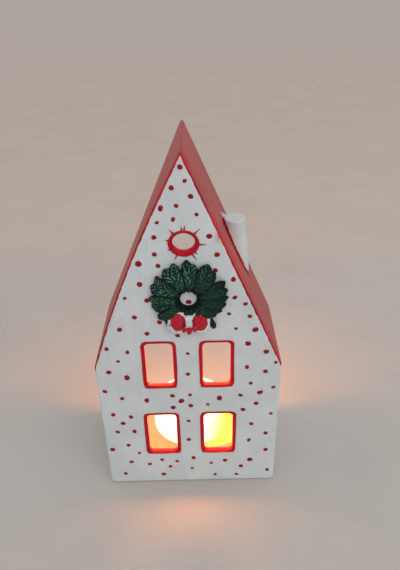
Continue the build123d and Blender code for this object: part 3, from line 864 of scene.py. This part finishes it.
def ray_stroke(root, tip, width, thickness):
    """One tapered brush stroke on the facade, from a broad root to a fine tip."""
    clear_selection()
    bpy.ops.mesh.primitive_plane_add(size=1)
    bpy.ops.object.mode_set(mode="EDIT")
    bpy.ops.mesh.delete(type="ONLY_FACE")
    pick(lambda vert: vert.co.x > 0)
    bpy.ops.mesh.delete(type="VERT")
    bpy.ops.mesh.select_all(action="SELECT")
    bpy.ops.transform.translate(value=(0.5, 0, 0))
    for step, left in RAY_STEPS:
        bpy.ops.mesh.extrude_region_move(TRANSFORM_OT_translate={"value": (step, 0, 0)})
        bpy.ops.transform.resize(value=(1, left, 1))
    bpy.ops.object.mode_set(mode="OBJECT")
    stroke = bpy.context.object
    along = tip - root
    across = Vector((0, -1, 0)).cross(along).normalized()
    stroke.matrix_world = Matrix.Translation(root) @ Matrix((
        (*along, 0), (*(across * width), 0), (0, -1, 0, 0), (0, 0, 0, 1))).transposed()
    settle(stroke)
    face_out(stroke)
    modify(stroke, "SOLIDIFY", thickness=thickness, offset=1)
    return stroke


class TEALIGHTHOUSE_OT_plaster(bpy.types.Operator):
    """Paint the plaster house and its chimney"""

    bl_idname = "tealight_house.plaster"
    bl_label = "Paint the plaster"

    def execute(self, context):
        finish = plaster_finish()
        dress("house_shell", finish)
        dress("chimney", finish)
        return {"FINISHED"}


class TEALIGHTHOUSE_OT_window_frames(bpy.types.Operator):
    """Brush a red frame round each of the four windows"""

    bl_idname = "tealight_house.window_frames"
    bl_label = "Brush the window frames"

    def execute(self, context):
        sizes, paint = settings().house, settings().paint
        finish = red_paint_finish("frame_paint", settings().colours.red)
        rows = {
            "upper": (sizes.upper_width, sizes.upper_height, sizes.upper_offset, sizes.upper_sill),
            "lower": (sizes.lower_width, sizes.lower_height, sizes.lower_offset, sizes.lower_sill),
        }
        seed = paint.seed
        for row, (width, height, offset, sill) in rows.items():
            for side, sign in (("left", -1), ("right", 1)):
                seed += 2
                centre = Vector((sign * offset, FRONT, sill + height / 2))
                ring = window_frame(f"{row}_{side}_frame", centre, width, height, seed)
                finish_piece(ring, finish)
        return {"FINISHED"}


class TEALIGHTHOUSE_OT_attic_sun(bpy.types.Operator):
    """Brush the ring and the rays round the attic window"""

    bl_idname = "tealight_house.attic_sun"
    bl_label = "Brush the attic sun"

    def execute(self, context):
        sizes, paint = settings().house, settings().paint
        centre = Vector((0, FRONT, sizes.attic_centre))
        inner = (sizes.attic_width / 2 + paint.rim, sizes.attic_height / 2 + paint.rim)
        outer = (inner[0] + paint.ring, inner[1] + paint.ring)
        clear_selection()
        bpy.ops.mesh.primitive_circle_add(vertices=36, radius=1, location=centre,
                                          rotation=(QUARTER_TURN, 0, 0))
        bpy.ops.transform.resize(value=(inner[0], 1, inner[1]))
        settle(bpy.context.object)
        bpy.ops.object.mode_set(mode="EDIT")
        pieces = [brushed_ring("attic_sun", centre, inner, outer, -paint.ring_drop / 2, paint.seed + 20)]
        ray_thickness = paint.thickness * paint.ray_thickness_share
        for pixel in RAY_TIPS:
            tip = on_facade(pixel)
            out = tip - centre
            reach = math.hypot(out.x / outer[0], out.z / outer[1])
            root = centre + out * (paint.ray_root_share / reach)
            pieces.append(ray_stroke(root, tip, paint.ray, ray_thickness))
        sun = join(pieces, "attic_sun")
        finish_piece(sun, red_paint_finish("sun_paint", settings().colours.red))
        return {"FINISHED"}


class TEALIGHTHOUSE_OT_dots(bpy.types.Operator):
    """Dab the red dots on the facade"""

    bl_idname = "tealight_house.dots"
    bl_label = "Dab the dots"

    def execute(self, context):
        paint = settings().paint
        draw = random.Random(paint.seed)
        clear_selection()
        bpy.ops.mesh.primitive_circle_add(vertices=12, radius=paint.dot / 2, fill_type="NGON")
        dot = bpy.context.object
        edit_all()
        for share, rise in DOT_STEPS:
            bpy.ops.mesh.inset(thickness=paint.dot * share, depth=paint.dot_height * rise)
        bpy.ops.object.mode_set(mode="OBJECT")
        upright = Matrix.Rotation(QUARTER_TURN, 4, "X")
        dots = []
        groups = ((SMALL_DOTS, paint.small_share), (PLAIN_DOTS, 1), (LARGE_DOTS, paint.large_share))
        for pixels, share in groups:
            for pixel in pixels:
                size = share * draw.uniform(*DOT_SIZE_RANGE)
                longer = draw.uniform(*DOT_STRETCH_RANGE)
                turn = Matrix.Rotation(draw.uniform(*DOT_TURN_RANGE), 4, "Z")
                grow = Matrix.Diagonal((size * longer, size / longer, 1, 1))
                tall = Matrix.Diagonal((1, paint.dot_tall_share, 1, 1))
                dots.append(copy_of(dot, Matrix.Translation(on_facade(pixel)) @ upright @ tall @ turn @ grow))
        bpy.data.objects.remove(dot)
        dots = join(dots, "paint_dots")
        bpy.ops.object.mode_set(mode="EDIT")
        pick(lambda vert: vert.co.y > FRONT - paint.dot_height * 0.7)
        bpy.ops.transform.vertex_random(offset=paint.dot * 0.05, uniform=1, normal=0, seed=paint.seed)
        bpy.ops.object.mode_set(mode="OBJECT")
        finish_piece(dots, red_paint_finish("dot_paint", settings().colours.dot), angle=60)
        return {"FINISHED"}


def bud_place():
    """Middle of the bud, which stands as far proud as the wreath's leaves."""
    return on_facade(BUD_PIXEL, FRONT - wreath_low.y - settings().leaf.bud)


def model_leaf():
    """One ribbed, toothed leaf along +X, its upper side towards +Z."""
    sizes = settings().leaf
    stations, columns = len(LEAF_HALF_SHARES), len(LEAF_RIB_SHARES)
    clear_selection()
    bpy.ops.mesh.primitive_grid_add(x_subdivisions=stations - 1, y_subdivisions=columns - 1, size=1)
    leaf = bpy.context.object
    leaf.scale = (sizes.length, sizes.width, 1)
    leaf.location.x = sizes.length / 2
    settle(leaf)
    spots = [(station, column) for column in range(columns) for station in range(stations)]
    along, across = (leaf.data.attributes.new(name, "FLOAT", "POINT") for name in LEAF_AXES)
    along.data.foreach_set("value", [station / (stations - 1) for station, column in spots])
    across.data.foreach_set("value", [2 * column / (columns - 1) - 1 for station, column in spots])
    bpy.ops.object.mode_set(mode="EDIT")
    for column, rib_share in enumerate(LEAF_RIB_SHARES):
        slant = sizes.length * sizes.slant_share * abs(2 * column / (columns - 1) - 1)
        pick(lambda vert: vert.index // stations == column)
        bpy.ops.transform.translate(value=(slant, 0, sizes.rib * rib_share))
    for station, half_share in enumerate(LEAF_HALF_SHARES):
        along_share = station / (stations - 1)
        middle = (sizes.length * along_share, 0, 0)
        tooth = 1 if station % 2 else sizes.valley_share
        rib_fade = tooth * (1 - (1 - sizes.tip_rib_share) * along_share)
        slant_fade = 1 - along_share ** 2
        pick(lambda vert: vert.index % stations == station)
        bpy.ops.transform.resize(value=(slant_fade, half_share, rib_fade), center_override=middle)
        rise = sizes.lift + sizes.arch * math.sin(math.pi * along_share ** sizes.arch_power)
        bpy.ops.transform.translate(value=(0, 0, rise))
    bpy.ops.object.mode_set(mode="OBJECT")
    modify(leaf, "SOLIDIFY", thickness=sizes.sheet, offset=-1)
    modify(leaf, "SUBSURF", levels=1, render_levels=1)
    return leaf


class TEALIGHTHOUSE_OT_wreath(bpy.types.Operator):
    """Lay the wreath of leaves on its ring"""

    bl_idname = "tealight_house.wreath"
    bl_label = "Lay the wreath"

    def execute(self, context):
        sizes = settings().leaf
        centre = Vector(((wreath_low.x + wreath_high.x) / 2, FRONT, sizes.wreath_height))
        facing = Matrix.Rotation(QUARTER_TURN, 4, "X")
        upright = Matrix.Translation(centre) @ facing
        leaf = model_leaf()
        pieces = []
        for index, (angle, reach, width, roll) in enumerate(LEAVES):
            grow = Matrix.Diagonal(((reach * MM - sizes.root) / sizes.length, width * MM / sizes.width, 1, 1))
            foot = Matrix.Translation((sizes.root, 0, index % 2 * sizes.overlap))
            turn = Matrix.Rotation(math.radians(angle), 4, "Z") @ foot
            pieces.append(copy_of(leaf, upright @ turn @ Matrix.Rotation(math.radians(roll), 4, "X") @ grow))
        root, tip = (on_facade(pixel) for pixel in SPRIG_PIXELS)
        reach = tip - root
        turn = Matrix.Rotation(math.atan2(reach.z, reach.x), 4, "Z")
        sprig_width = sizes.sprig / sizes.width
        grow = Matrix.Diagonal((reach.length / sizes.length, sprig_width, sizes.sprig_flat_share, 1))
        pieces.append(copy_of(leaf, Matrix.Translation(root) @ facing @ turn @ grow))
        bpy.data.objects.remove(leaf)

        clear_selection()
        bpy.ops.mesh.primitive_uv_sphere_add(segments=16, ring_count=10, radius=sizes.bud,
                                             location=bud_place())
        settle(bpy.context.object)
        pieces.append(bpy.context.object)

        clear_selection()
        tube = (sizes.mound - sizes.hole) / 2
        bpy.ops.mesh.primitive_torus_add(major_radius=sizes.hole + tube, minor_radius=tube,
                                         major_segments=48, minor_segments=16)
        mound = bpy.context.object
        mound.matrix_world = upright @ Matrix.Diagonal((1, 1, sizes.mound_height / tube, 1))
        settle(mound)
        edit_all()
        bpy.ops.mesh.bisect(plane_co=centre, plane_no=(0, 1, 0), clear_outer=True, use_fill=True)
        bpy.ops.object.mode_set(mode="OBJECT")
        pieces.append(mound)
        wreath = join(pieces, "leaf_wreath")
        finish_piece(wreath, leaf_finish(), angle=50)
        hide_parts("wreath")
        return {"FINISHED"}


class TEALIGHTHOUSE_OT_bow(bpy.types.Operator):
    """Model the bow at the foot of the wreath"""

    bl_idname = "tealight_house.bow"
    bl_label = "Tie the bow"

    def execute(self, context):
        sizes = settings().bow
        centre = Vector(((bow_low.x + bow_high.x) / 2, FRONT, sizes.height))
        reach = (bow_high.x - bow_low.x) / 2 * sizes.reach_share
        proud = bow_high.y - bow_low.y
        pieces, patches = [], []
        lobe_depth = proud * sizes.lobe_depth_share
        lobe_paint = (sizes.lobe_paint_width / 2, sizes.lobe_paint_height / 2)
        for side in (-1, 1):
            middle = centre + Vector((side * reach / 2, -lobe_depth / 2, 0))
            lobe = block(middle, (reach, lobe_depth, sizes.lobe_height))
            edit_all()
            bpy.ops.mesh.subdivide(number_cuts=3)
            pick(lambda vert: abs(vert.co.x - centre.x) < reach * 0.1)
            at_root = (1, sizes.root_depth_share, sizes.root_height_share)
            bpy.ops.transform.resize(value=at_root, center_override=centre)
            pick(lambda vert: abs(vert.co.x - centre.x) > reach * 0.95)
            at_end = (1, sizes.end_depth_share, sizes.end_height_share)
            bpy.ops.transform.resize(value=at_end, center_override=centre)
            bpy.ops.mesh.select_all(action="SELECT")
            seed = settings().paint.seed + side
            bpy.ops.transform.vertex_random(offset=sizes.ragged, uniform=1, normal=0, seed=seed)
            bpy.ops.object.mode_set(mode="OBJECT")
            modify(lobe, "SUBSURF", levels=2, render_levels=2)
            pieces.append(lobe)
            painted = Vector((side * reach * sizes.lobe_paint_share, 0, sizes.lobe_paint_rise))
            patches.append((centre + painted, lobe_paint))
        knot_middle = centre + Vector((0, -proud / 2, sizes.knot_rise))
        knot = block(knot_middle, (sizes.knot_width, proud, sizes.knot_height))
        modify(knot, "BEVEL", width=sizes.knot_edge, segments=3)
        pieces.append(knot)
        tail_top = centre.z - sizes.tail_drop
        tail_tip = bow_low.z
        tail_middle = Vector((centre.x, FRONT - sizes.tail_thickness / 2, (tail_top + tail_tip) / 2))
        tail = block(tail_middle, (sizes.tail_width, sizes.tail_thickness, tail_top - tail_tip))
        bpy.ops.object.mode_set(mode="EDIT")
        pick(lambda vert: vert.co.z < tail_middle.z)
        at_tip = (sizes.tip_width_share, sizes.tip_depth_share, 1)
        bpy.ops.transform.resize(value=at_tip, center_override=(centre.x, FRONT, tail_tip))
        bpy.ops.object.mode_set(mode="OBJECT")
        modify(tail, "BEVEL", width=sizes.tail_edge, segments=3)
        pieces.append(tail)
        tail_paint = (sizes.tail_paint_width / 2, sizes.tail_paint_height / 2)
        patches.append((Vector((centre.x, 0, tail_tip + tail_paint[1])), tail_paint))
        bow = join(pieces, "plaster_bow")
        finish_piece(bow, bow_finish(patches), angle=50)
        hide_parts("bow")
        return {"FINISHED"}


class TEALIGHTHOUSE_OT_tealight(bpy.types.Operator):
    """Finish the pieces of the battery tealight"""

    bl_idname = "tealight_house.tealight"
    bl_label = "Finish the tealight"

    def execute(self, context):
        colours = settings().colours
        dress("candle_body", lit_plastic_finish())
        dress("flame_lens", flame_finish())
        plastic = plain_finish("moulded_white_plastic", colours.plastic, 0.45)
        dress("base_plate", plastic)
        dress("battery_cover", plastic)
        dress("led", plain_finish("diode_epoxy", colours.diode, 0.12))
        dress("led_leads", plain_finish("tinned_wire", colours.tin, 0.28, 1.0, (1, 1, 0.1)))
        dress("coin_cell", plain_finish("brushed_cell_steel", colours.steel, 0.25, 1.0, (0.1, 1, 1)))
        brass = plain_finish("contact_brass", colours.brass, 0.28, 1.0, (1, 0.15, 1))
        for node in ("minus_contact", "plus_contact", "switch_wiper"):
            dress(node, brass)
        dress("switch_slider", plain_finish("dark_plastic", colours.dark_plastic, 0.5))
        return {"FINISHED"}


def tealight_light(name, kind, place, power, colour, aim=None):
    """A light that stands for the tealight's glow and rides on it, aimed straight down or at a point."""
    clear_selection()
    bpy.ops.object.light_add(type=kind, location=place)
    lamp = bpy.context.object
    lamp.name = name
    lamp.data.energy = power
    lamp.data.color = colour
    if aim:
        lamp.rotation_euler = (aim - place).to_track_quat("-Z", "Y").to_euler()
    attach(lamp, "tealight")
    return lamp.data


class TEALIGHTHOUSE_OT_stage(bpy.types.Operator):
    """Lay the floor and set the light and the camera"""

    bl_idname = "tealight_house.stage"
    bl_label = "Set the stage"

    def execute(self, context):
        stage, colours = settings().stage, settings().colours
        clear_selection()
        bpy.ops.mesh.primitive_plane_add(size=stage.floor_size)
        floor = context.object
        floor.name = "floor"
        finish = Finish("pale_floor")
        cloud = finish.noise(60, detail=3)
        y = finish.axes()[1]
        far = finish.ramp(y + cloud * 30, stage.far_start / MM, stage.far_end / MM)
        tone = finish.mix(far, colours.floor, colours.floor_far)
        finish.set(Base_Color=finish.mix(cloud * 0.12, tone, (0, 0, 0)), Roughness=0.55 + cloud * 0.2)
        floor.data.materials.append(finish.material)

        world = bpy.data.worlds.new("soft_room")
        world.use_nodes = True
        background = world.node_tree.nodes["Background"]
        background.inputs["Color"].default_value = (*colours.room, 1)
        background.inputs["Strength"].default_value = stage.world
        context.scene.world = world

        clear_selection()
        bpy.ops.object.light_add(type="AREA", location=stage.key_place)
        key = context.object
        key.name = "key_light"
        key.data.size = stage.key_size
        key.data.energy = stage.key
        key.data.color = colours.key_light
        aim = Vector(stage.key_aim) - key.location
        key.rotation_euler = aim.to_track_quat("-Z", "Y").to_euler()

        foot = (candle_low + candle_high) / 2
        foot.z = candle_low.z
        over_flame = Vector((foot.x, foot.y, flame_high.z + stage.candle_lift))
        glow = tealight_light("candlelight", "POINT", over_flame, stage.candlelight, colours.candlelight)
        glow.shadow_soft_size = stage.candle_size
        under_roof = Vector((foot.x, foot.y - stage.loft_forward, stage.loft_height))
        loft = tealight_light("loft_light", "AREA", under_roof, stage.loft, colours.candlelight)
        loft.shape = "RECTANGLE"
        loft.size = stage.loft_size
        loft.size_y = stage.loft_length
        for side, label in ((-1, "left"), (1, "right")):
            place = foot + Vector((side * stage.wall_place.x, *stage.wall_place.yz))
            aim = foot + Vector(stage.wall_aim)
            wall = tealight_light(f"wall_light_{label}", "AREA", place, stage.wall, colours.candlelight, aim)
            wall.size = stage.wall_size
        place, aim = foot + Vector(stage.pool_place), foot + Vector(stage.pool_aim)
        pool = tealight_light("pool_light", "SPOT", place, stage.pool, colours.glow_pool, aim)
        pool.shadow_soft_size = 0
        pool.spot_size = stage.pool_angle
        pool.spot_blend = stage.pool_blend

        clear_selection()
        bpy.ops.object.camera_add()
        camera = context.object
        camera.matrix_world = camera_matrix()
        camera.data.sensor_width = 36
        camera.data.lens = stage.focal_pixels / PHOTO_SIZE[1] * camera.data.sensor_width
        camera.data.clip_start = 0.01
        context.scene.camera = camera
        context.scene.view_settings.view_transform = "Standard"
        return {"FINISHED"}


class TealightHouseSettings(bpy.types.PropertyGroup):
    """All the settings of the tealight house."""

    house: PointerProperty(type=HouseSizes)
    paint: PointerProperty(type=PaintSizes)
    leaf: PointerProperty(type=LeafSizes)
    bow: PointerProperty(type=BowSizes)
    colours: PointerProperty(type=HouseColours)
    stage: PointerProperty(type=StageSettings)


OPERATORS = (
    TEALIGHTHOUSE_OT_plaster,
    TEALIGHTHOUSE_OT_window_frames,
    TEALIGHTHOUSE_OT_attic_sun,
    TEALIGHTHOUSE_OT_dots,
    TEALIGHTHOUSE_OT_wreath,
    TEALIGHTHOUSE_OT_bow,
    TEALIGHTHOUSE_OT_tealight,
    TEALIGHTHOUSE_OT_stage,
)


class TEALIGHTHOUSE_PT_panel(bpy.types.Panel):
    """Steps of the tealight house, in order"""

    bl_label = "Tealight House"
    bl_idname = "TEALIGHTHOUSE_PT_panel"
    bl_space_type = "VIEW_3D"
    bl_region_type = "UI"
    bl_category = "Tealight House"

    def draw(self, context):
        for operator in OPERATORS:
            self.layout.operator(operator.bl_idname)
        for group in ("house", "paint", "leaf", "bow", "colours", "stage"):
            box = self.layout.box()
            values = getattr(context.scene.tealight_house, group)
            for name in values.__annotations__:
                box.prop(values, name, text=name.replace("_", " ").capitalize())


GROUPS = (HouseSizes, PaintSizes, LeafSizes, BowSizes, HouseColours, StageSettings, TealightHouseSettings)
CLASSES = GROUPS + OPERATORS + (TEALIGHTHOUSE_PT_panel,)


def register():
    for cls in CLASSES:
        bpy.utils.register_class(cls)
    bpy.types.Scene.tealight_house = PointerProperty(type=TealightHouseSettings)


def unregister():
    del bpy.types.Scene.tealight_house
    for cls in reversed(CLASSES):
        bpy.utils.unregister_class(cls)


def main():
    register()
    bpy.ops.tealight_house.plaster()
    bpy.ops.tealight_house.window_frames()
    bpy.ops.tealight_house.attic_sun()
    bpy.ops.tealight_house.dots()
    bpy.ops.tealight_house.wreath()
    bpy.ops.tealight_house.bow()
    bpy.ops.tealight_house.tealight()
    bpy.ops.tealight_house.stage()


if __name__ == "__main__":
    main()
